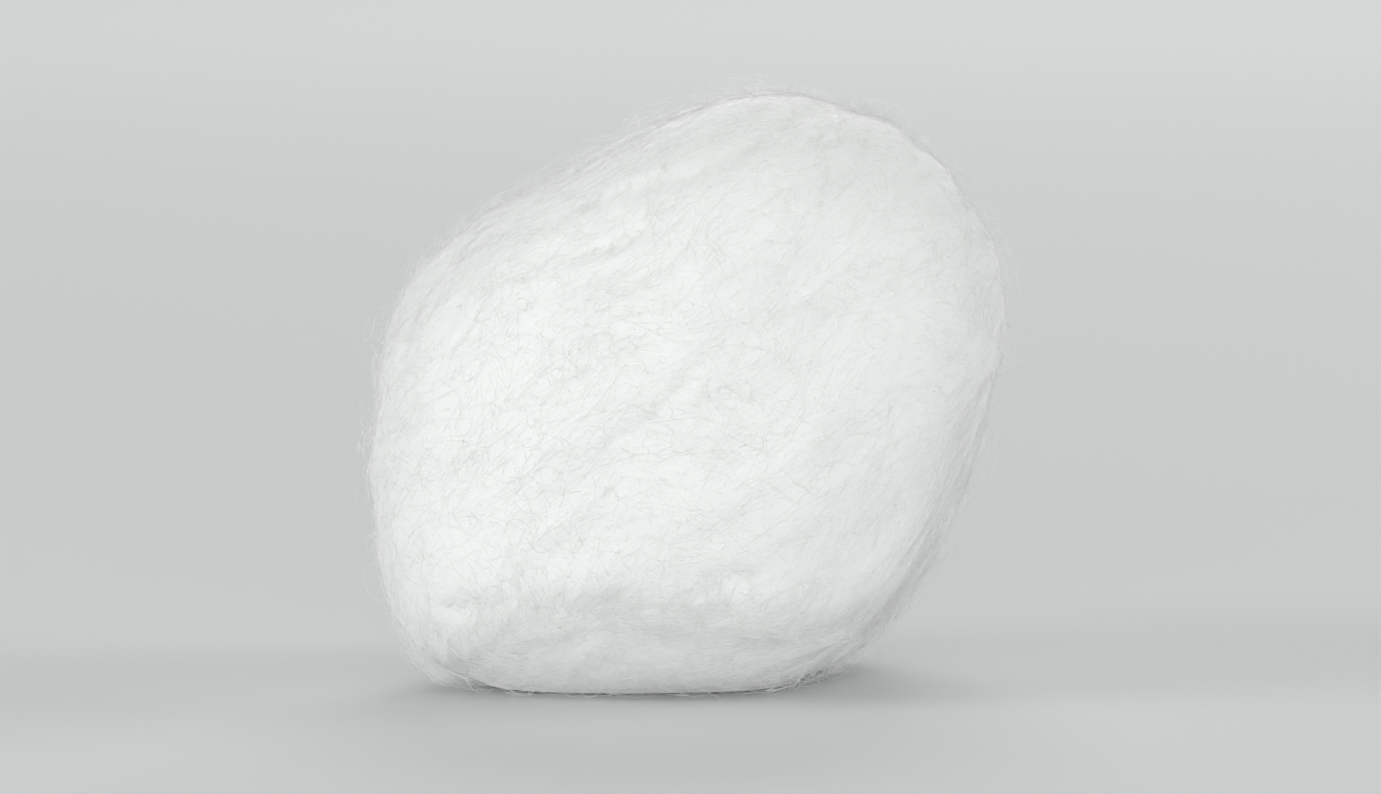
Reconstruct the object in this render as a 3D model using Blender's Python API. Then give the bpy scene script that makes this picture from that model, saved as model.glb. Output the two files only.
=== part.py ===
"""A cotton wool ball, as it lies on a table.

One tuft of carded cotton is rolled up into a soft, slightly squashed ball. It is one piece. The fibres wind
round a leaning axis, and both ends of the roll are tucked in. Its sides are flattened where it lay against
others, its outer layer ends in soft laps, and it rests on the flattened part of its underside.

Metres, +Z up. -X is the left side and -Y the front. The origin is the middle of the ball's box, at the bottom.
"""

import math

import bmesh
import bpy
from mathutils import Vector, noise

# Size of the finished ball
BALL_WIDTH = 0.0343
BALL_DEPTH = 0.0325
BALL_HEIGHT = 0.0317
FULLNESS = 2.3  # of the body's outline: 2 is an ellipse, and more is squarer
REST_SQUASH = 0.0010  # how much of the round underside its own weight and storage have pressed flat

# The roll, whose fibres wind round an axis that leans to the left and a little to the back
ROLL_LEAN_LEFT = math.radians(34)
ROLL_LEAN_BACK = math.radians(9)
END_DIMPLE_DEPTH = 0.0013
END_DIMPLE_RADIUS = 0.0032
END_GATHERS = 3
END_GATHER_DEPTH = 0.00035
END_GATHER_RADIUS = 0.0050  # where the gathers are deepest
END_TWIST_PITCH = 0.0160  # distance from the end over which a gather turns once round it

# Flats where the ball lay against others, each sunk this far into the round body
SHOULDER_SINK = 0.0030
FRONT_SINK = 0.0010
RIGHT_SINK = 0.0027
BACK_SINK = 0.0017
BACK_LEFT_SINK = 0.0015
FLAT_ROUNDING = 0.0040  # how softly a flat runs into the round body

# Fuller and hollower places between the flats
FOOT_SWELL = 0.0042
FLANK_SWELL = 0.0011
CREST_SWELL = 0.0011
BROW_HOLLOW = 0.0006
BACK_SWELL = 0.0010

# Laps, where the outer layer ends on the one below: one low across the front, and the roll's own tail end
LAP_STEP = 0.00070
LAP_FADE = 0.0055  # over which the layer's edge thins out again
TAIL_STEP = 0.00085
TAIL_HALF_WIDTH = 0.0078
TAIL_TIP_LENGTH = 0.0110
TAIL_FADE = 0.0220
EDGE_WIDTH = 0.0019  # over which the surface drops at a layer's edge
EDGE_GROOVE_DEPTH = 0.00018

# Soft folds along the winding, and short dents
FOLD_DEPTH = 0.00060
FOLD_WIDTH = 0.0013
DENT_DEPTH = 0.00060
DENT_LENGTH = 0.0024
DENT_WIDTH = 0.0011

# Hanks of fibre that stand out along the winding: coarse ones, and finer ones between them
STRAND_HEIGHT = 0.00045
STRAND_WIDTH = 0.0023
STRAND_LENGTH = 0.0120
FINE_STRAND_SHARE = 0.6  # of the height, width and length of a coarse one
PRESSED_HEIGHT = 0.0020  # above the table, over which all this relief is pressed smooth

# How far strands, folds and laps wander from their lines, and how often over one radius of the ball
WANDER = 0.0018
STRAND_WAVES = 2.3
FOLD_WAVES = 3.1
LAP_WAVES = 2.0

# Mesh: columns run round the roll, rows from end to end
COLUMNS = 72
ROWS = 72
LEAST_SPACING = 0.0004  # points closer than this, at the roll's ends, become one
CUT_SNAP = 0.0001  # points this close to the table are put on it

COTTON_WHITE = (0.905, 0.915, 0.905, 1.0)
COTTON_ROUGHNESS = 0.95

BODY_CENTRE = Vector((0.0, 0.0, BALL_HEIGHT / 2))
MEAN_RADIUS = (BALL_WIDTH + BALL_DEPTH + BALL_HEIGHT) / 6
UP = Vector((0.0, 0.0, 1.0))
FRONT = Vector((0.0, -1.0, 0.0))


def towards(azimuth, elevation):
    """The unit vector at these angles in degrees: azimuth from +X towards +Y, elevation above the horizon."""
    a = math.radians(azimuth)
    e = math.radians(elevation)
    return Vector((math.cos(a) * math.cos(e), math.sin(a) * math.cos(e), math.sin(e)))


def square_to(axis, direction):
    """The unit vector square to an axis that is nearest to a direction."""
    return (direction - axis * direction.dot(axis)).normalized()


ROLL_AXIS = Vector((-math.tan(ROLL_LEAN_LEFT), math.tan(ROLL_LEAN_BACK), 1.0)).normalized()
ROLL_FRONT = square_to(ROLL_AXIS, FRONT)
ROLL_SIDE = ROLL_AXIS.cross(ROLL_FRONT)

# Where each flat lies, and how far it is sunk
FLATS = (
    (towards(180, 60), SHOULDER_SINK),
    (towards(268, 8), FRONT_SINK),
    (towards(348, -24), RIGHT_SINK),
    (towards(75, 12), BACK_SINK),
    (towards(140, -12), BACK_LEFT_SINK),
)

# Where the body is fuller, by how much, and the radius of that place
SWELLS = (
    (towards(196, -40), FOOT_SWELL, 0.0080),
    (towards(186, 16), FLANK_SWELL, 0.0060),
    (towards(316, 36), CREST_SWELL, 0.0080),
    (towards(294, 24), -BROW_HOLLOW, 0.0042),
    (towards(40, -30), BACK_SWELL, 0.0090),
)

# Folds: the axis that the fold circles, its angle from that axis, the middle and half length of the arc
FOLDS = (
    (ROLL_AXIS, 66, -10, 46),
    (towards(188, 66), 84, 2, 26),
    (ROLL_AXIS, 97, 44, 34),
    (ROLL_AXIS, 112, 158, 52),
    (ROLL_AXIS, 58, 170, 40),
    (towards(30, 60), 66, 150, 40),
)

# Dents: where each one is, and how its length slopes from the level
DENTS = (
    (towards(225, -32), 2),
    (towards(281, -29), -3),
    (towards(252, 30), 24),
    (towards(20, 26), 20),
    (towards(112, 30), -30),
    (towards(158, 8), -28),
)

# The low lap: the axis that its edge circles, its angle from that axis and the middle and half length of the arc
LAP_PLACE = (towards(80, 72), 146.8, -2)
LAP_HALF_LENGTH = 92

# Where the tail end's tip begins, in degrees: its angle from the roll's axis, and how far round from the front
TAIL_PLACE = (84, 160)


def smooth_step(x):
    """From 0 to 1 as x goes from 0 to 1."""
    t = min(1.0, max(0.0, x))
    return t * t * (3 - 2 * t)


def hill(x):
    """A rounded hill: 1 at 0, and nearly 0 beyond 2 on either side."""
    return math.exp(-x * x)


def smooth_least(a, b, rounding):
    """The smaller of two lengths, with a rounded corner where they meet."""
    near = max(rounding - abs(a - b), 0.0) / rounding
    return min(a, b) - near * near * rounding / 4


def half_axes(direction):
    """The body's half sizes on the side that a direction points to. It reaches below the table until it is cut."""
    up_or_down = BALL_HEIGHT / 2 if direction.z > 0 else BALL_HEIGHT / 2 + REST_SQUASH
    return BALL_WIDTH / 2, BALL_DEPTH / 2, up_or_down


def round_body(direction):
    """Distance from the body's centre to its round outline."""
    shares = (abs(part / half) ** FULLNESS for part, half in zip(direction, half_axes(direction)))
    return sum(shares) ** (-1 / FULLNESS)


def reach(direction):
    """How far the round body reaches along a direction, which is where a plane across it just touches."""
    power = FULLNESS / (FULLNESS - 1)
    parts = (abs(part * half) ** power for part, half in zip(direction, half_axes(direction)))
    return sum(parts) ** (1 / power)


def swells(direction):
    """What the fuller and hollower places add."""
    return sum(
        height * hill(MEAN_RADIUS * direction.angle(middle) / radius) for middle, height, radius in SWELLS
    )


def flattened(direction, radius):
    """The radius with the flats pressed in."""
    for facing, sink in FLATS:
        across = direction.dot(facing)
        if across > 0:
            radius = smooth_least(radius, (reach(facing) - sink) / across, FLAT_ROUNDING)
    return radius


def roll_ends(direction):
    """The dimple at each end of the roll, with the gathers that swirl into it."""
    height = 0.0
    round_roll = math.atan2(direction.dot(ROLL_SIDE), direction.dot(ROLL_FRONT))
    for end in (ROLL_AXIS, -ROLL_AXIS):
        away = MEAN_RADIUS * direction.angle(end)
        height -= END_DIMPLE_DEPTH * hill(away / END_DIMPLE_RADIUS)
        swirl = END_GATHERS * (round_roll + math.tau * away / END_TWIST_PITCH)
        share = (away / END_GATHER_RADIUS) ** 2
        height += END_GATHER_DEPTH * math.cos(swirl) * share * math.exp(1 - share)
    return height


def wander(direction, waves):
    """How far a line has wandered off at a point."""
    return WANDER * noise.noise(direction * waves)


def hanks(direction, share):
    """Bumps that are long round the roll and narrow across it. They end before the roll's ends."""
    from_end = MEAN_RADIUS * direction.angle(ROLL_AXIS)
    across = (from_end + wander(direction, STRAND_WAVES)) / STRAND_WIDTH
    along = (direction - ROLL_AXIS * direction.dot(ROLL_AXIS)) * MEAN_RADIUS / STRAND_LENGTH
    fade = smooth_step(min(from_end, math.pi * MEAN_RADIUS - from_end) / END_DIMPLE_RADIUS)
    return STRAND_HEIGHT * share * fade * noise.noise((along + ROLL_AXIS * across) / share)


def arc_place(direction, axis, angle, middle):
    """Distance of a point inside a circle round an axis, and its angle in degrees from the arc's middle."""
    start = square_to(axis, UP if abs(axis.z) < 0.6 else FRONT)
    turned = math.degrees(math.atan2(direction.dot(axis.cross(start)), direction.dot(start))) - middle
    inside = MEAN_RADIUS * (math.radians(angle) - direction.angle(axis))
    return inside, (turned + 180) % 360 - 180


def arc_share(along, half_length):
    """1 along the middle of an arc, and down to 0 at its two ends."""
    return smooth_step(2 - 2 * abs(along) / half_length)


def folds(direction):
    """The soft valleys of the long folds."""
    height = 0.0
    for axis, angle, middle, half_length in FOLDS:
        inside, along = arc_place(direction, axis, angle, middle)
        valley = hill((inside + wander(direction, FOLD_WAVES)) / FOLD_WIDTH)
        height -= FOLD_DEPTH * arc_share(along, half_length) * valley
    return height


def dents(direction):
    """The short dents."""
    height = 0.0
    for middle, slope in DENTS:
        if direction.dot(middle) < 0.5:
            continue
        level = UP.cross(middle).normalized()
        rising = middle.cross(level)
        right = MEAN_RADIUS * direction.dot(level)
        up = MEAN_RADIUS * direction.dot(rising)
        turn = math.radians(slope)
        along = right * math.cos(turn) + up * math.sin(turn)
        across = up * math.cos(turn) - right * math.sin(turn)
        height -= DENT_DEPTH * hill(along / DENT_LENGTH) * hill(across / DENT_WIDTH)
    return height


def layer_edge(inside, step):
    """A layer that ends in a step, with a groove in front of it. Inside is the distance from its edge."""
    return step * smooth_step(0.5 + inside / EDGE_WIDTH) - EDGE_GROOVE_DEPTH * hill(inside / EDGE_WIDTH + 1)


def lap(direction):
    """The layer whose edge runs low across the front."""
    inside, along = arc_place(direction, *LAP_PLACE)
    inside += wander(direction, LAP_WAVES)
    fade = arc_share(along, LAP_HALF_LENGTH) * math.exp(-max(inside, 0.0) / LAP_FADE)
    return fade * layer_edge(inside, LAP_STEP)


def tail(direction):
    """The rounded tail end of the roll, which lies along the winding at the back and thins out behind its tip."""
    across, turned = arc_place(direction, ROLL_AXIS, *TAIL_PLACE)
    past_tip = -MEAN_RADIUS * math.radians(turned)
    from_middle = math.hypot(max(past_tip, 0.0) / TAIL_TIP_LENGTH, across / TAIL_HALF_WIDTH)
    inside = TAIL_HALF_WIDTH * (1 - from_middle) + wander(direction, LAP_WAVES)
    fade = smooth_step(1 + min(past_tip, 0.0) / TAIL_FADE)
    return fade * layer_edge(inside, TAIL_STEP)


def ball_radius(direction):
    """Distance from the body's centre to the finished surface."""
    radius = flattened(direction, round_body(direction) + swells(direction))
    height = BODY_CENTRE.z + direction.z * radius
    relief = roll_ends(direction) + hanks(direction, 1) + hanks(direction, FINE_STRAND_SHARE)
    relief += folds(direction) + dents(direction) + lap(direction) + tail(direction)
    return radius + relief * smooth_step(height / PRESSED_HEIGHT)


def clear_scene():
    for obj in list(bpy.data.objects):
        bpy.data.objects.remove(obj)


def cotton_material():
    material = bpy.data.materials.new("cotton")
    material.use_nodes = True
    shader = material.node_tree.nodes["Principled BSDF"]
    shader.inputs["Base Color"].default_value = COTTON_WHITE
    shader.inputs["Roughness"].default_value = COTTON_ROUGHNESS
    shader.inputs["Metallic"].default_value = 0.0
    material.diffuse_color = COTTON_WHITE
    return material


def cut_rest_flat(mesh):
    """Cuts off what lies below the table and closes the cut with one flat face."""
    everything = mesh.verts[:] + mesh.edges[:] + mesh.faces[:]
    bmesh.ops.bisect_plane(
        mesh, geom=everything, dist=CUT_SNAP, plane_co=(0, 0, 0), plane_no=(0, 0, 1), clear_inner=True
    )
    rim = [edge for edge in mesh.edges if edge.is_boundary]
    for edge in rim:
        for vertex in edge.verts:
            vertex.co.z = 0.0
    bmesh.ops.edgeloop_fill(mesh, edges=rim)
    bmesh.ops.recalc_face_normals(mesh, faces=mesh.faces)


def fit_to_size(mesh):
    """Scales the ball to its named size, and sets its box on the table, in the middle."""
    for axis, size in enumerate((BALL_WIDTH, BALL_DEPTH, BALL_HEIGHT)):
        places = [vertex.co[axis] for vertex in mesh.verts]
        low, high = min(places), max(places)
        middle = low if axis == 2 else (low + high) / 2
        for vertex in mesh.verts:
            vertex.co[axis] = (vertex.co[axis] - middle) * size / (high - low)


def shaped_ball():
    """A sphere whose poles are the roll's ends, with each point moved out to the ball's surface."""
    mesh = bmesh.new()
    bmesh.ops.create_uvsphere(mesh, u_segments=COLUMNS, v_segments=ROWS, radius=1.0)
    leaning = UP.rotation_difference(ROLL_AXIS)
    for vertex in mesh.verts:
        direction = (leaning @ vertex.co).normalized()
        vertex.co = BODY_CENTRE + direction * ball_radius(direction)
    bmesh.ops.remove_doubles(mesh, verts=mesh.verts, dist=LEAST_SPACING)
    cut_rest_flat(mesh)
    fit_to_size(mesh)
    return mesh


def build():
    clear_scene()
    collection = bpy.data.collections.new("cotton_ball_parts")
    bpy.context.scene.collection.children.link(collection)
    data = bpy.data.meshes.new("cotton_ball")
    shape = shaped_ball()
    shape.to_mesh(data)
    shape.free()
    data.shade_smooth()
    data.materials.append(cotton_material())
    ball = bpy.data.objects.new("cotton_ball", data)
    collection.objects.link(ball)


build()
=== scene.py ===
"""The looks of a cotton wool ball: its soft wound core, and the fibres that lie on it and stand off it.

Metres, +Z up, -Y is the front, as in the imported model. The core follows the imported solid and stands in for
it. Its surface is worked out on a grid whose poles are the two ends of the roll.
"""

import math

import bpy
import numpy as np
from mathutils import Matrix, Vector, noise
from mathutils.bvhtree import BVHTree


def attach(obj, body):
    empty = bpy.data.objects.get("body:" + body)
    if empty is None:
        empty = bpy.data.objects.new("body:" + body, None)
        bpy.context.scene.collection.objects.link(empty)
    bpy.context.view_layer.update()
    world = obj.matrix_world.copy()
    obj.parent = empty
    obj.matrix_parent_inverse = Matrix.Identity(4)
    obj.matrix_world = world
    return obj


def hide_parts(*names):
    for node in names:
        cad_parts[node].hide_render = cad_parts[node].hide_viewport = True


MM = 0.001
SEED = 20
UP = np.array((0.0, 0.0, 1.0))
FORWARDS = np.array((0.0, -1.0, 0.0))

# The ball and its roll, as in the solid
BALL_HEIGHT = 31.7 * MM
MEAN_RADIUS = 16.4 * MM
CENTRE = np.array((0.0, 0.0, BALL_HEIGHT / 2))
ROLL_LEAN_LEFT = math.radians(34)
ROLL_LEAN_BACK = math.radians(9)
WANDER = 1.8 * MM  # how far strands and the lap wander across their lines
STRAND_WAVES = 2.3  # over one radius of the ball
LAP_WAVES = 2.0
# Where strands lie flatter than the winding: azimuth, elevation, radius of the place, and by what slope
FANS = (
    (266, -14, 13.0 * MM, 0.26),
    (262, -48, 9.0 * MM, 0.42),
)

# The core's grid: each row goes once round the roll, and each column goes from its upper end to its lower end
ROWS = 300
COLUMNS = 296
FACET_SOFTENING = 2.40 * MM  # rounds off the solid's facets
CORE_SINK = 0.10 * MM  # the core starts this far in, and the fibres fill it up to the solid's surface
PRESSED_HEIGHT = 1.6 * MM  # above the floor, over which the relief is pressed smooth
FLAT_ROUNDING = 0.4 * MM  # height over which the side runs into the flat underneath

# Strands of the core: height, width across the winding and length along it
STRANDS = (
    (0.28 * MM, 2.9 * MM, 18.0 * MM),
    (0.10 * MM, 1.3 * MM, 13.0 * MM),
    (0.032 * MM, 0.60 * MM, 8.0 * MM),
)
# Soft lumps of the core: height and size
LUMPS = ((0.18 * MM, 5.0 * MM),)
NOISE_CORNERS = 256
NOISE_GAIN = 1.6  # brings the noise's range to about -1 to 1
NOISE_APART = 7.3  # keeps the noises of the strands from lining up
LUMP_NOISE_START = 3.7
NICK_NOISE_START = 5.1

# The low lap: the axis that its edge circles, as azimuth and elevation, the edge's angle from that axis, and
# the middle of the edge's arc
LAP = ((80, 72), 146.8, -2)
LAP_HALF_LENGTH = 92  # of the arc, in degrees
LAP_STEP = 0.16 * MM  # height of the edge
LAP_EDGE = 0.9 * MM  # width over which the edge rises
LAP_FADE = 5.0 * MM  # how soon the lap sinks back behind its edge
LAP_GROOVE = 0.05 * MM  # depth of the groove outside the edge
LAP_GROOVE_OUT = 0.8  # how far outside the edge the groove runs, in widths of the edge

# Long creases between layers: axis, angle from it, middle and half length of the arc, depth and width
CREASES = (
    ((124, 56), 76, 14, 40, 0.13 * MM, 0.60 * MM),
    ((124, 56), 101, 22, 34, 0.08 * MM, 0.60 * MM),
    ((124, 56), 128, -150, 46, 0.22 * MM, 0.60 * MM),
    ((124, 56), 62, 165, 52, 0.20 * MM, 0.60 * MM),
    ((188, 66), 84, 2, 34, 0.14 * MM, 0.55 * MM),
    ((270, 5), 63, 44, 58, 0.16 * MM, 0.55 * MM),
)
STEEP = 0.6  # height of an axis's unit vector, from which its arcs are measured from the front
# Short creases: azimuth, elevation, slope in degrees, half length, depth and width
NICKS = (
    (225, -32, 2, 1.8 * MM, 0.20 * MM, 0.40 * MM),
    (281, -29, -3, 1.6 * MM, 0.20 * MM, 0.40 * MM),
    (252, 30, 24, 2.4 * MM, 0.22 * MM, 0.40 * MM),
    (20, 26, 20, 2.4 * MM, 0.24 * MM, 0.40 * MM),
    (112, 30, -30, 2.2 * MM, 0.24 * MM, 0.40 * MM),
    (158, 8, -28, 2.2 * MM, 0.24 * MM, 0.40 * MM),
)
NICK_WANDER = 0.25 * MM
NICK_WAVES = 6  # over one radius of the ball

# Wisps that have worked loose: azimuth, elevation and radius of the place that they grow from
WISPS = (
    (348, -46, 1.7 * MM),
    (328, -44, 1.5 * MM),
    (204, -44, 1.4 * MM),
    (166, 48, 1.6 * MM),
    (60, -6, 1.5 * MM),
    (20, 52, 1.5 * MM),
)
FOOT = (-64, -36)  # elevations between which the foot's fuzz grows
FRINGE_BAND = (-0.2, 1.6)  # millimetres inside the lap's edge, between which its fringe grows
FRINGE_SHARE = 0.95  # of the lap's length

# All fibres
FIBRE_SIDES = 3
FLOOR_GAP = 0.03 * MM  # least height of a fibre above the floor
END_TUCK = 0.12 * MM  # how deep a fibre's end goes into the core
TIP_SHARE = 0.35  # a fibre's width near its ends, as a share of its width in the middle
# Fibres that lie on the core
SETTLED = 0.35  # how far their normals lean towards the core's own
LIFT_SPREAD = (2.0, 0.5)  # shape and scale of the gamma distribution by which their lifts differ
ARCH_POWER = 0.7  # how soon they rise from their ends
RIPPLE = 0.25  # of their height
RIPPLE_TURN = 9  # radians from end to end
SWAY = 0.12  # radians to either side
SWAY_TURN = 7  # radians from end to end
# Fibres that stand off the core
FLOW_SCATTER = 0.9  # radians by which they turn away from the strands
CURL_CHANGE = 0.6  # share of their curl that changes from step to step

# Colours, linear, and how many waves of tone there are in a metre
# The core's two colours are the cotton's with painted shade: darker than the fibres' white, to paint the shade
# in the gaps between the fibres
CORE_COTTON_WITH_PAINTED_SHADE = (0.855, 0.872, 0.853)
CORE_DARKER_TONE_WITH_PAINTED_SHADE = (0.820, 0.838, 0.820)
COTTON_TONE_WAVES = 200.0
FIBRE = (0.985, 0.992, 0.982)
FIBRE_SHADE = (0.930, 0.942, 0.927)
FIBRE_TONE_WAVES = 1100.0
BUMP_WAVES = 4200.0
BUMP_HEIGHT = 0.08 * MM

# The stage: a round floor that sweeps up into a backdrop
FLOOR_COLOUR = (0.775, 0.785, 0.788)
FLOOR_RADIUS = 1.2
FLOOR_MIDDLE = 0.4  # radius of a ring on the level floor
FLOOR_DROP = 0.05 * MM
SWEEP_RADIUS = 0.4
SWEEP_START = 0.1  # radians
SWEEP_STEPS = 16
STAGE_SIDES = 96

WORLD_LEVELS = (0.25, 0.50)  # at the horizon and overhead
# Lamps that face the ball: name, place, width and height, and power
LAMPS = (
    ("key", (-0.60, -0.24, 0.26), (0.36, 0.36), 1.1),
    ("front", (-0.08, -0.66, 0.06), (0.60, 0.11), 2.3),
    ("fill", (0.68, 0.10, 0.26), (0.36, 0.36), 1.3),
    ("back", (0.10, 1.00, 0.70), (0.60, 0.60), 3.2),
)

CAMERA_AIM = Vector((0.0, 0.0, 15.0 * MM))
CAMERA_DISTANCE = 0.45
CAMERA_TILT = math.radians(5)  # how far it looks down
LENS_LENGTH = 220.0  # millimetres, as is the sensor's width
SENSOR_WIDTH = 36.0

random = np.random.default_rng(SEED)


def unit(vectors):
    """Vectors scaled to length 1."""
    return vectors / np.maximum(np.linalg.norm(vectors, axis=-1, keepdims=True), 1e-12)


def square_to(axis, direction):
    """The unit vector square to an axis that is nearest to a direction."""
    return unit(direction - axis * (direction @ axis))


def smooth_step(x):
    """From 0 to 1 as x goes from 0 to 1."""
    t = np.clip(x, 0.0, 1.0)
    return t * t * (3 - 2 * t)


def hill(x):
    """A rounded hill: 1 at 0, and nearly 0 beyond 2 on either side."""
    return np.exp(-x * x)


def towards(azimuth, elevation):
    """The unit vector at these angles in degrees: azimuth from +X towards +Y, elevation above the horizon."""
    a, e = math.radians(azimuth), math.radians(elevation)
    return np.array((math.cos(a) * math.cos(e), math.sin(a) * math.cos(e), math.sin(e)))


AXIS = unit(np.array((-math.tan(ROLL_LEAN_LEFT), math.tan(ROLL_LEAN_BACK), 1.0)))
FRONT = square_to(AXIS, FORWARDS)
SIDE = np.cross(AXIS, FRONT)

# Noise: one gradient for each corner of a grid of cells
CORNER_ORDER = random.permutation(NOISE_CORNERS)
CORNER_GRADIENTS = unit(random.normal(size=(NOISE_CORNERS, 3)))


def soft_noise(points):
    """Smooth noise from about -1 to 1, with one wave or so in each unit of length."""
    cell = np.floor(points).astype(int)
    inside = points - cell
    fade = inside**3 * (inside * (inside * 6 - 15) + 10)
    total = np.zeros(points.shape[:-1])
    for corner in np.ndindex(2, 2, 2):
        picked = 0
        for axis in range(3):
            picked = CORNER_ORDER[(picked + cell[..., axis] + corner[axis]) % NOISE_CORNERS]
        weight = np.prod(np.where(corner, fade, 1 - fade), axis=-1)
        total += weight * np.sum(CORNER_GRADIENTS[picked] * (inside - corner), axis=-1)
    return total * NOISE_GAIN


def directions(polar, turned):
    """Unit vectors at these angles: polar from the roll's axis, turned round it from the front."""
    round_roll = np.cos(turned)[..., None] * FRONT + np.sin(turned)[..., None] * SIDE
    return np.cos(polar)[..., None] * AXIS + np.sin(polar)[..., None] * round_roll


POLAR = (np.arange(ROWS) + 0.5) * math.pi / ROWS
TURNED = np.arange(COLUMNS) * math.tau / COLUMNS
GRID = directions(*np.meshgrid(POLAR, TURNED, indexing="ij"))
ROW_STEP = MEAN_RADIUS * math.pi / ROWS


def over_the_poles(values, rows):
    """The grid with some rows added at each pole, which go on down its far side."""
    top = np.roll(values[:rows][::-1], COLUMNS // 2, axis=1)
    bottom = np.roll(values[-rows:][::-1], COLUMNS // 2, axis=1)
    return np.concatenate((top, values, bottom))


def on_grid(values, where):
    """A grid's values at other directions, in between its points."""
    polar = np.arccos(np.clip(where @ AXIS, -1, 1))
    turned = np.arctan2(where @ SIDE, where @ FRONT) % math.tau
    row = np.clip(polar * ROWS / math.pi - 0.5, 0, ROWS - 1.001)
    column = turned * COLUMNS / math.tau
    i, j = row.astype(int), column.astype(int)
    down, right = row - i, column - j
    j, after = j % COLUMNS, (j + 1) % COLUMNS
    upper = values[i, j] * (1 - right) + values[i, after] * right
    lower = values[i + 1, j] * (1 - right) + values[i + 1, after] * right
    return upper * (1 - down) + lower * down


def drift(waves):
    """How far lines have drifted off on the grid, as in the solid."""
    values = (noise.noise(Vector(direction) * waves) for direction in GRID.reshape(-1, 3))
    return WANDER * np.fromiter(values, float).reshape(ROWS, COLUMNS)


def fans():
    """The drift that turns the strands flatter in some places on the front."""
    shift = np.zeros((ROWS, COLUMNS))
    for azimuth, elevation, radius, slope in FANS:
        middle = towards(azimuth, elevation)
        near = hill(MEAN_RADIUS * np.arccos(np.clip(GRID @ middle, -1, 1)) / radius)
        shift -= slope * MEAN_RADIUS * ((GRID - middle) @ SIDE) * near
    return shift


STRAND_DRIFT = drift(STRAND_WAVES) + fans()
LAP_DRIFT = drift(LAP_WAVES)


def solid_radii(node):
    """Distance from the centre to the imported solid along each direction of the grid."""
    tree = BVHTree.FromObject(node, bpy.context.evaluated_depsgraph_get())
    centre = Vector(CENTRE)
    cast = (tree.ray_cast(centre, Vector(direction))[3] for direction in GRID.reshape(-1, 3))
    return np.fromiter(cast, float).reshape(ROWS, COLUMNS)


def softened(values, width):
    """The grid's values, blurred over a width on the ball."""
    waves = np.fft.rfftfreq(COLUMNS, 1 / COLUMNS)
    spread = width / (MEAN_RADIUS * np.sin(POLAR))[:, None]
    values = np.fft.irfft(np.fft.rfft(values) * np.exp(-((waves * spread) ** 2) / 2), n=COLUMNS)
    rows = math.ceil(3 * width / ROW_STEP)
    kernel = np.exp(-((np.arange(-rows, rows + 1) * ROW_STEP / width) ** 2) / 2)
    spreading = over_the_poles(values, rows)
    return sum(share * spreading[k : k + ROWS] for k, share in enumerate(kernel / kernel.sum()))


def winding_noise(width, length, start):
    """Noise on the grid that is long along the strands and narrow across them."""
    across = (MEAN_RADIUS * POLAR[:, None] + STRAND_DRIFT) / width
    along = (GRID - (GRID @ AXIS)[..., None] * AXIS) * MEAN_RADIUS / length
    return soft_noise(along + across[..., None] * AXIS + start)


def arc_place(where, axis, angle, middle):
    """Distance of points inside a circle round an axis, and their angle in degrees from the arc's middle.

    The middle is an angle from the top, or from the front where the axis is steep.
    """
    axis = towards(*axis)
    start = square_to(axis, UP if abs(axis[2]) < STEEP else FORWARDS)
    turned = np.degrees(np.arctan2(where @ np.cross(axis, start), where @ start)) - middle
    inside = MEAN_RADIUS * (math.radians(angle) - np.arccos(np.clip(where @ axis, -1, 1)))
    return inside, (turned + 180) % 360 - 180


def arc_share(along, half_length):
    """1 along the middle of an arc, and down to 0 at its two ends."""
    return smooth_step(2 - 2 * np.abs(along) / half_length)


def lap():
    """The low lap's edge, sharper than the solid has it."""
    inside, along = arc_place(GRID, *LAP)
    inside = inside + LAP_DRIFT
    step = LAP_STEP * smooth_step(0.5 + inside / LAP_EDGE) * np.exp(-np.maximum(inside, 0) / LAP_FADE)
    groove = LAP_GROOVE * hill(inside / LAP_EDGE + LAP_GROOVE_OUT)
    return arc_share(along, LAP_HALF_LENGTH) * (step - groove)


def long_creases():
    """Height of the long creases between layers, which wander with the strands."""
    height = np.zeros((ROWS, COLUMNS))
    for axis, angle, middle, half_length, depth, width in CREASES:
        inside, along = arc_place(GRID, axis, angle, middle)
        height -= depth * arc_share(along, half_length) * hill((inside + STRAND_DRIFT) / width)
    return height


def nicks():
    """Height of the short creases."""
    height = np.zeros((ROWS, COLUMNS))
    shift = NICK_WANDER * soft_noise(GRID * NICK_WAVES + NICK_NOISE_START)
    for azimuth, elevation, slope, half_length, depth, width in NICKS:
        middle = towards(azimuth, elevation)
        level = unit(np.cross(UP, middle))
        rising = np.cross(middle, level)
        turn = math.radians(slope)
        right, up = MEAN_RADIUS * (GRID @ level), MEAN_RADIUS * (GRID @ rising)
        along = right * math.cos(turn) + up * math.sin(turn)
        across = up * math.cos(turn) - right * math.sin(turn) + shift
        this_side = GRID @ middle > 0.5
        height -= depth * hill(along / half_length) * hill(across / width) * this_side
    return height


def core_relief():
    """Height of the core's strands, lumps, lap and creases above its smooth shape."""
    strands = enumerate(STRANDS)
    height = sum(tall * winding_noise(width, length, NOISE_APART * k) for k, (tall, width, length) in strands)
    height += sum(tall * soft_noise(GRID * MEAN_RADIUS / size + LUMP_NOISE_START) for tall, size in LUMPS)
    return height + lap() + long_creases() + nicks()


def core_radii(node):
    """The finished core's radius on the grid."""
    radii = softened(solid_radii(node), FACET_SOFTENING) - CORE_SINK
    height = CENTRE[2] + GRID[..., 2] * radii
    return radii + core_relief() * smooth_step(height / PRESSED_HEIGHT)


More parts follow.
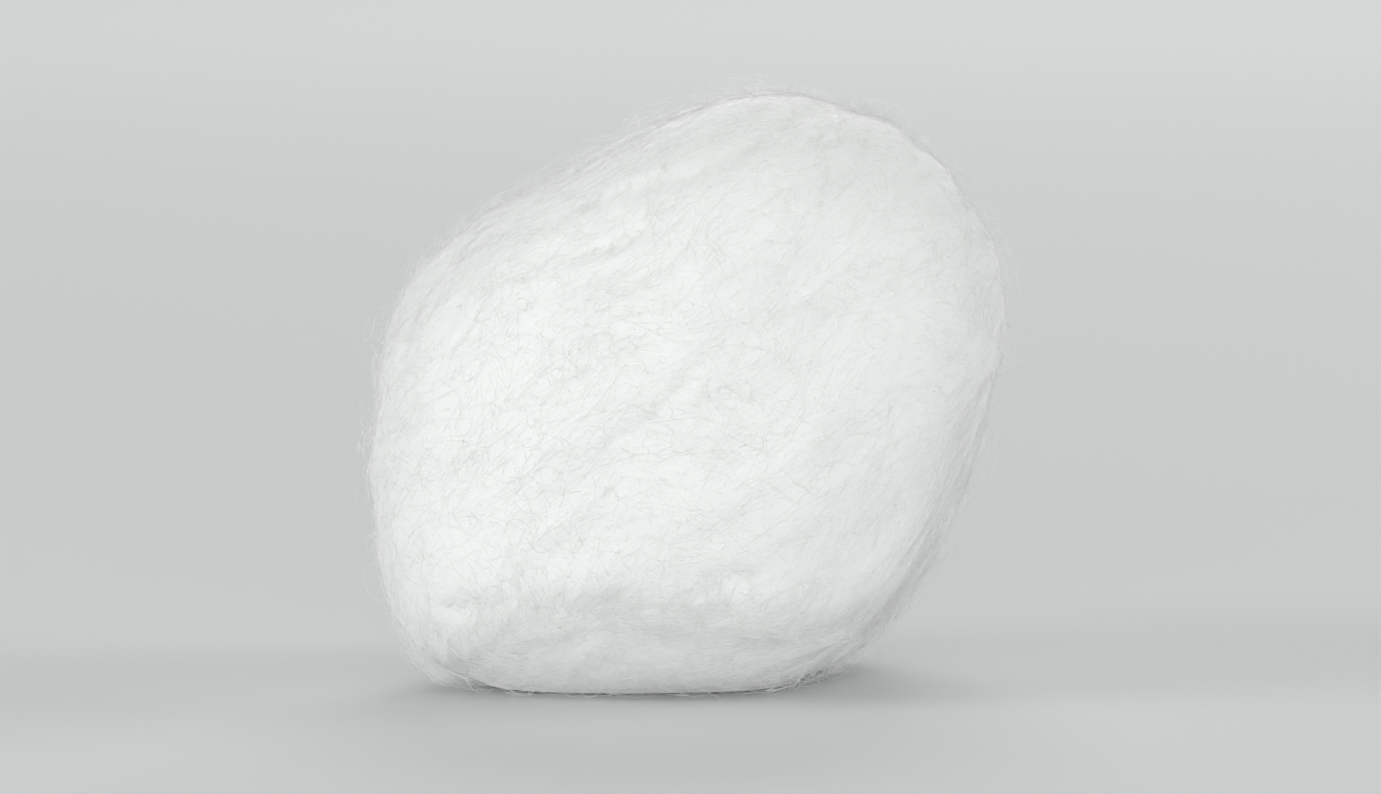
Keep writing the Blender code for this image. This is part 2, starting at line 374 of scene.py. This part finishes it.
def core_normals():
    """Normals of the core's surface, on the grid."""
    points = GRID * RADII[..., None]
    beyond = over_the_poles(points, 1)
    down = beyond[2:] - beyond[:-2]
    right = np.roll(points, -1, axis=1) - np.roll(points, 1, axis=1)
    return unit(np.cross(down, right))


def strand_slopes():
    """The angle at which the strands cross the winding, on the grid."""
    column_step = MEAN_RADIUS * np.sin(POLAR)[:, None] * math.tau / COLUMNS
    down = np.gradient(STRAND_DRIFT, ROW_STEP, axis=0)
    right = (np.roll(STRAND_DRIFT, -1, axis=1) - np.roll(STRAND_DRIFT, 1, axis=1)) / (2 * column_step)
    return np.arctan2(-right, 1 + down)


def new_object(name, data):
    """An object for this data, linked to the scene."""
    thing = bpy.data.objects.new(name, data)
    bpy.context.scene.collection.objects.link(thing)
    return thing


def mesh_object(name, points, faces, material):
    """A smooth mesh from points and from arrays of faces, each with three or four corners."""
    data = bpy.data.meshes.new(name)
    counts = np.concatenate([np.full(len(part), part.shape[1]) for part in faces])
    corners = np.concatenate([part.ravel() for part in faces])
    data.vertices.add(len(points))
    data.vertices.foreach_set("co", points.astype(np.float32).ravel())
    data.loops.add(len(corners))
    data.loops.foreach_set("vertex_index", corners.astype(np.int32))
    data.polygons.add(len(counts))
    data.polygons.foreach_set("loop_start", np.concatenate(([0], np.cumsum(counts)[:-1])).astype(np.int32))
    data.update(calc_edges=True)
    data.validate()
    data.shade_smooth()
    data.materials.append(material)
    return new_object(name, data)


def pressed_on_floor(points):
    """Points with the lowest ones pressed flat on the floor."""
    height = np.maximum(points[..., 2], 0.0)
    points[..., 2] = height * smooth_step(height / FLAT_ROUNDING)
    return points


def core_object(material):
    """The core, as a closed mesh on the grid with one point at each pole."""
    points = pressed_on_floor(CENTRE + GRID * RADII[..., None]).reshape(-1, 3)
    poles = CENTRE + np.array((AXIS * RADII[0].mean(), -AXIS * RADII[-1].mean()))
    index = np.arange(ROWS * COLUMNS).reshape(ROWS, COLUMNS)
    after = np.roll(index, -1, axis=1)
    sides = np.stack((index[:-1], index[1:], after[1:], after[:-1]), axis=-1).reshape(-1, 4)
    first = np.full(COLUMNS, len(points))
    top = np.stack((first, index[0], after[0]), axis=-1)
    bottom = np.stack((index[-1], first + 1, after[-1]), axis=-1)
    return mesh_object("cotton_core", np.concatenate((points, poles)), (sides, top, bottom), material)


def carried_along(paths):
    """Two directions square to each path and to each other at each of its points, without any twist."""
    count, steps = paths.shape[:2]
    along = unit(np.gradient(paths, axis=1))
    aside = np.empty_like(paths)
    turned = random.normal(size=(count, 3))
    for k in range(steps):
        turned = unit(turned - along[:, k] * np.sum(turned * along[:, k], axis=-1, keepdims=True))
        aside[:, k] = turned
    return aside, np.cross(along, aside)


def fibre_object(name, paths, widths, settled, material):
    """Fibres along their paths, each a closed thread with three sides and two pointed ends.

    Their normals are blended with the core's by the share settled, because light spreads between fibres that
    lie close together and makes them as bright as the surface that they form.
    """
    count, steps = paths.shape[:2]
    paths[..., 2] = np.maximum(paths[..., 2], FLOOR_GAP)
    aside, above = carried_along(paths)
    angles = np.arange(FIBRE_SIDES)[:, None] * math.tau / FIBRE_SIDES
    outwards = np.cos(angles) * aside[:, 1:-1, None] + np.sin(angles) * above[:, 1:-1, None]
    ring = paths[:, 1:-1, None] + outwards * widths[:, 1:-1, None, None] / 2
    ring[..., 2] = np.maximum(ring[..., 2], FLOOR_GAP)
    points = np.concatenate((ring.reshape(count, -1, 3), paths[:, [0, -1]]), axis=1)

    index = np.arange(FIBRE_SIDES * (steps - 2)).reshape(-1, FIBRE_SIDES)
    after = np.roll(index, -1, axis=1)
    sides = np.stack((index[:-1], after[:-1], after[1:], index[1:]), axis=-1).reshape(-1, 4)
    tip = np.full(FIBRE_SIDES, points.shape[1] - 2)
    start = np.stack((tip, after[0], index[0]), axis=-1)
    end = np.stack((tip + 1, index[-1], after[-1]), axis=-1)
    first = (np.arange(count) * points.shape[1])[:, None, None]
    one_fibre = (sides, np.concatenate((start, end)))
    faces = [(part[None] + first).reshape(-1, part.shape[1]) for part in one_fibre]
    thing = mesh_object(name, points.reshape(-1, 3), faces, material)

    where = unit(paths - CENTRE)
    of_core = unit(np.stack([on_grid(NORMALS[..., axis], where) for axis in range(3)], axis=-1))
    of_rings = unit((1 - settled) * outwards + settled * of_core[:, 1:-1, None])
    normals = np.concatenate((of_rings.reshape(count, -1, 3), of_core[:, [0, -1]]), axis=1)
    thing.data.normals_split_custom_set_from_vertices(normals.reshape(-1, 3))
    return thing


def all_over(count):
    """Places spread evenly over the ball."""
    return unit(random.normal(size=(count, 3)))


def along_the_lap(count):
    """Places along the low lap's edge, most of them just inside it."""
    axis_angles, angle, middle = LAP
    axis = towards(*axis_angles)
    start = square_to(axis, FORWARDS)
    shares = random.uniform(-FRINGE_SHARE, FRINGE_SHARE, size=count)
    turn = np.radians(middle + shares * LAP_HALF_LENGTH)[:, None]
    inwards = random.uniform(*FRINGE_BAND, size=count) * MM
    round_axis = np.cos(turn) * start + np.sin(turn) * np.cross(axis, start)
    place = np.zeros((count, 3)) + start
    for _ in range(2):  # the edge's drift is read where the place before it was
        drifted = on_grid(LAP_DRIFT, place)
        tilt = (math.radians(angle) - (inwards - drifted) / MEAN_RADIUS)[:, None]
        place = np.cos(tilt) * axis + np.sin(tilt) * round_axis
    return place


def at_the_wisps(count):
    """Places in the spots that the wisps grow from."""
    spots = np.array([towards(azimuth, elevation) for azimuth, elevation, _ in WISPS])
    sizes = np.array([radius for _, _, radius in WISPS]) / MEAN_RADIUS
    picked = random.integers(len(WISPS), size=count)
    return unit(spots[picked] + random.normal(size=(count, 3)) * sizes[picked, None] / 2)


def round_the_foot(count):
    """Places all round the ball's lower part, from the edge of its flat underside upwards."""
    azimuth = random.uniform(0, math.tau, size=count)
    elevation = np.radians(random.uniform(*FOOT, size=count))
    level = np.cos(elevation)
    return np.stack((np.cos(azimuth) * level, np.sin(azimuth) * level, np.sin(elevation)), axis=-1)


def tapered(count, steps, widths):
    """Widths along fibres that get thinner towards both ends."""
    share = np.linspace(0, 1, steps + 1)
    thick = random.uniform(*widths, size=count)
    return thick[:, None] * (TIP_SHARE + (1 - TIP_SHARE) * np.sin(math.pi * share) ** 0.5)


def lying_fibres(place, steps, lengths, widths, scatter, lift, bend):
    """Fibres that follow the strands along the core, both ends tucked in: paths, widths, share settled."""
    count = len(place)
    length = random.uniform(*lengths, size=count)
    heading = random.normal(0, scatter, size=count)
    curve = random.normal(0, bend, size=count) / steps
    swing = random.uniform(0, math.tau, size=count)
    rise = lift * random.gamma(*LIFT_SPREAD, size=count)
    paths = np.zeros((count, steps + 1, 3))
    for k in range(steps + 1):
        share = k / steps
        arch = math.sin(math.pi * share) ** ARCH_POWER
        ripple = RIPPLE * np.sin(swing + share * RIPPLE_TURN)
        height = rise * arch * (1 + ripple) - END_TUCK * (1 - arch)
        paths[:, k] = CENTRE + place * (on_grid(RADII, place) + height)[:, None]
        round_roll = unit(np.cross(AXIS, place))
        down = np.cross(round_roll, place)
        sway = SWAY * np.sin(swing * 2 + share * SWAY_TURN)
        angle = heading + on_grid(SLOPES, place) + curve * k + sway
        step = round_roll * np.cos(angle)[:, None] + down * np.sin(angle)[:, None]
        place = unit(place + step * (length / steps / MEAN_RADIUS)[:, None])
    return paths, tapered(count, steps, widths), SETTLED


def held_in(paths, reach):
    """Paths whose points stay within reach of the core, and above the floor."""
    away = paths - CENTRE
    where = unit(away)
    surface = on_grid(RADII, where)
    height = np.linalg.norm(away, axis=-1) - surface
    held_height = reach * (1 - np.exp(-np.maximum(height, 0) / reach))
    held = CENTRE + where * (surface + np.where(height > 0, held_height, height))[..., None]
    held[..., 2] = np.maximum(held[..., 2], FLOOR_GAP * 2)
    return held


def standing_fibres(start, steps, lengths, widths, reach, stand, curl):
    """Fibres that start in the core, curl up off it and end free: paths, widths, share settled.

    The share by which a fibre's start points outwards comes from the beta distribution that stand gives.
    """
    count = len(start)
    length = random.uniform(*lengths, size=count)
    aside = unit(np.cross(AXIS, start))
    angle = on_grid(SLOPES, start) + random.normal(0, FLOW_SCATTER, size=count)
    flow = aside * np.cos(angle)[:, None] + np.cross(aside, start) * np.sin(angle)[:, None]
    rising = random.beta(*stand, size=count)[:, None]
    going = unit(flow * (1 - rising) + start * rising)
    turning = random.normal(0, curl, size=(count, 3))
    place = CENTRE + start * (on_grid(RADII, start) - END_TUCK)[:, None]
    paths = np.zeros((count, steps + 1, 3))
    for k in range(steps + 1):
        paths[:, k] = place
        place = place + going * (length / steps)[:, None]
        turning = turning + random.normal(0, curl * CURL_CHANGE, size=(count, 3))
        going = unit(going + np.cross(turning, going) / steps)
    return held_in(paths, reach), tapered(count, steps, widths), 0.0


def noise_node(nodes, links, waves, detail):
    """A noise texture that is fixed to the object, with this many waves in a metre."""
    place = nodes.new("ShaderNodeTexCoord")
    texture = nodes.new("ShaderNodeTexNoise")
    texture.inputs["Scale"].default_value = waves
    texture.inputs["Detail"].default_value = detail
    links.new(place.outputs["Object"], texture.inputs["Vector"])
    return texture


def cotton_material(name, shade, colour, tone_waves):
    """Soft, matt cotton whose tone varies a little from place to place."""
    material = bpy.data.materials.new(name)
    material.use_nodes = True
    nodes, links = material.node_tree.nodes, material.node_tree.links
    shader = nodes["Principled BSDF"]
    shader.inputs["Roughness"].default_value = 0.92
    shader.inputs["Specular IOR Level"].default_value = 0.25
    shader.inputs["Sheen Weight"].default_value = 0.8
    shader.inputs["Sheen Roughness"].default_value = 0.45
    soft = noise_node(nodes, links, tone_waves, 1.0)
    tone = nodes.new("ShaderNodeMix")
    tone.data_type = "RGBA"
    tone.inputs["A"].default_value = (*shade, 1.0)
    tone.inputs["B"].default_value = (*colour, 1.0)
    links.new(soft.outputs["Fac"], tone.inputs["Factor"])
    links.new(tone.outputs["Result"], shader.inputs["Base Color"])
    return material


def core_material():
    """The core's cotton: light scatters inside it, and the finest fibres are its bump. Its colour is darkened
    below the fibres' white to paint the shade in the gaps between the fibres.
    """
    material = cotton_material("cotton_core", CORE_DARKER_TONE_WITH_PAINTED_SHADE, CORE_COTTON_WITH_PAINTED_SHADE, COTTON_TONE_WAVES)
    nodes, links = material.node_tree.nodes, material.node_tree.links
    shader = nodes["Principled BSDF"]
    shader.inputs["Subsurface Weight"].default_value = 0.25
    shader.inputs["Subsurface Radius"].default_value = (1.0, 1.0, 1.0)
    shader.inputs["Subsurface Scale"].default_value = 0.5 * MM
    fine = noise_node(nodes, links, BUMP_WAVES, 4.0)
    bump = nodes.new("ShaderNodeBump")
    bump.inputs["Strength"].default_value = 0.15
    bump.inputs["Distance"].default_value = BUMP_HEIGHT
    links.new(fine.outputs["Fac"], bump.inputs["Height"])
    links.new(bump.outputs["Normal"], shader.inputs["Normal"])
    return material


def floor_material():
    """The plain, pale finish of the floor and the backdrop."""
    material = bpy.data.materials.new("floor")
    material.use_nodes = True
    shader = material.node_tree.nodes["Principled BSDF"]
    shader.inputs["Base Color"].default_value = (*FLOOR_COLOUR, 1.0)
    shader.inputs["Roughness"].default_value = 0.9
    return material


def floor_object():
    """A round floor that sweeps up into a backdrop all round."""
    profile = [(0.0, 0.0), (FLOOR_MIDDLE, 0.0), (FLOOR_RADIUS, 0.0)]
    for a in np.linspace(SWEEP_START, math.pi / 2, SWEEP_STEPS):
        profile.append((FLOOR_RADIUS + SWEEP_RADIUS * math.sin(a), SWEEP_RADIUS - SWEEP_RADIUS * math.cos(a)))
    turns = np.linspace(0, math.tau, STAGE_SIDES, endpoint=False)
    rings = [[(r * math.cos(t), r * math.sin(t), z - FLOOR_DROP) for t in turns] for r, z in profile]
    points = np.array(rings).reshape(-1, 3)
    index = np.arange(len(points)).reshape(-1, STAGE_SIDES)
    after = np.roll(index, -1, axis=1)
    faces = np.stack((index[:-1], index[1:], after[1:], after[:-1]), axis=-1).reshape(-1, 4)
    return mesh_object("floor", points, [faces], floor_material())


def light_world():
    """White light from all round, which is stronger overhead than at the horizon."""
    world = bpy.data.worlds.new("studio")
    world.use_nodes = True
    nodes, links = world.node_tree.nodes, world.node_tree.links
    place = nodes.new("ShaderNodeTexCoord")
    split = nodes.new("ShaderNodeSeparateXYZ")
    level = nodes.new("ShaderNodeMapRange")
    level.inputs["To Min"].default_value, level.inputs["To Max"].default_value = WORLD_LEVELS
    links.new(place.outputs["Generated"], split.inputs["Vector"])
    links.new(split.outputs["Z"], level.inputs["Value"])
    links.new(level.outputs["Result"], nodes["Background"].inputs["Strength"])
    nodes["Background"].inputs["Color"].default_value = (1.0, 1.0, 1.0, 1.0)
    bpy.context.scene.world = world


def light_lamp(name, place, size, power):
    """A lamp of this width and height that faces the ball and isn't seen itself."""
    lamp = bpy.data.lights.new(name, "AREA")
    lamp.shape = "RECTANGLE"
    lamp.size, lamp.size_y = size
    lamp.energy = power
    thing = new_object(name, lamp)
    thing.location = place
    thing.visible_camera = False
    thing.rotation_euler = (Vector(CENTRE) - Vector(place)).to_track_quat("-Z", "Y").to_euler()


def set_camera():
    """The camera in front of the ball and a little above it, and the plain view of its colours."""
    lens = bpy.data.cameras.new("camera")
    lens.lens = LENS_LENGTH
    lens.sensor_width = SENSOR_WIDTH
    camera = new_object("camera", lens)
    back_and_up = Vector((0.0, -math.cos(CAMERA_TILT), math.sin(CAMERA_TILT)))
    camera.location = CAMERA_AIM + back_and_up * CAMERA_DISTANCE
    camera.rotation_euler = (CAMERA_AIM - camera.location).to_track_quat("-Z", "Y").to_euler()
    bpy.context.scene.camera = camera
    bpy.context.scene.view_settings.view_transform = "Standard"


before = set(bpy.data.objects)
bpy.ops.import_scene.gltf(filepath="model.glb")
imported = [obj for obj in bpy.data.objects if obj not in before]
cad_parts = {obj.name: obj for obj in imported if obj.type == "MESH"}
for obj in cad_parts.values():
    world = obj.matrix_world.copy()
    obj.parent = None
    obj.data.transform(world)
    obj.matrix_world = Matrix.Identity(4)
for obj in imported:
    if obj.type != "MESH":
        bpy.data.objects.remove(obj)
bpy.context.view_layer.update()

RADII = core_radii(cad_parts["cotton_ball"])
SLOPES = strand_slopes()
NORMALS = core_normals()

core = core_object(core_material())
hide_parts("cotton_ball")

kinds = {
    "combed_fibres": lying_fibres(
        all_over(10500),
        steps=4,
        lengths=(4.0 * MM, 8.0 * MM),
        widths=(0.016 * MM, 0.027 * MM),
        scatter=0.28,
        lift=0.05 * MM,
        bend=0.5,
    ),
    "crossed_fibres": lying_fibres(
        all_over(5000),
        steps=4,
        lengths=(2.5 * MM, 5.5 * MM),
        widths=(0.014 * MM, 0.022 * MM),
        scatter=1.1,
        lift=0.07 * MM,
        bend=1.1,
    ),
    "lap_fringe": lying_fibres(
        along_the_lap(1600),
        steps=5,
        lengths=(1.6 * MM, 4.0 * MM),
        widths=(0.014 * MM, 0.022 * MM),
        scatter=0.6,
        lift=0.12 * MM,
        bend=1.2,
    ),
    "short_fuzz": standing_fibres(
        all_over(12000),
        steps=3,
        lengths=(0.4 * MM, 1.2 * MM),
        widths=(0.012 * MM, 0.018 * MM),
        reach=0.34 * MM,
        stand=(1.6, 2.0),
        curl=1.4,
    ),
    "long_fuzz": standing_fibres(
        all_over(7200),
        steps=5,
        lengths=(0.9 * MM, 2.6 * MM),
        widths=(0.014 * MM, 0.021 * MM),
        reach=0.70 * MM,
        stand=(1.3, 2.4),
        curl=2.0,
    ),
    "loose_fibres": standing_fibres(
        all_over(1500),
        steps=12,
        lengths=(3.0 * MM, 6.5 * MM),
        widths=(0.014 * MM, 0.021 * MM),
        reach=1.35 * MM,
        stand=(1.2, 2.4),
        curl=3.0,
    ),
    "wisps": standing_fibres(
        at_the_wisps(900),
        steps=8,
        lengths=(1.8 * MM, 4.4 * MM),
        widths=(0.013 * MM, 0.020 * MM),
        reach=1.3 * MM,
        stand=(1.2, 2.2),
        curl=1.6,
    ),
    "foot_fuzz": standing_fibres(
        round_the_foot(1600),
        steps=5,
        lengths=(1.2 * MM, 3.2 * MM),
        widths=(0.014 * MM, 0.021 * MM),
        reach=0.9 * MM,
        stand=(1.6, 2.0),
        curl=2.0,
    ),
}
fibre = cotton_material("cotton_fibre", FIBRE_SHADE, FIBRE, FIBRE_TONE_WAVES)
pieces = [core]
for name, (paths, widths, settled) in kinds.items():
    pieces.append(fibre_object(name, paths, widths, settled, fibre))

for piece in pieces:
    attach(piece, "root")

floor = floor_object()
light_world()
for name, place, size, power in LAMPS:
    light_lamp(name, place, size, power)
set_camera()
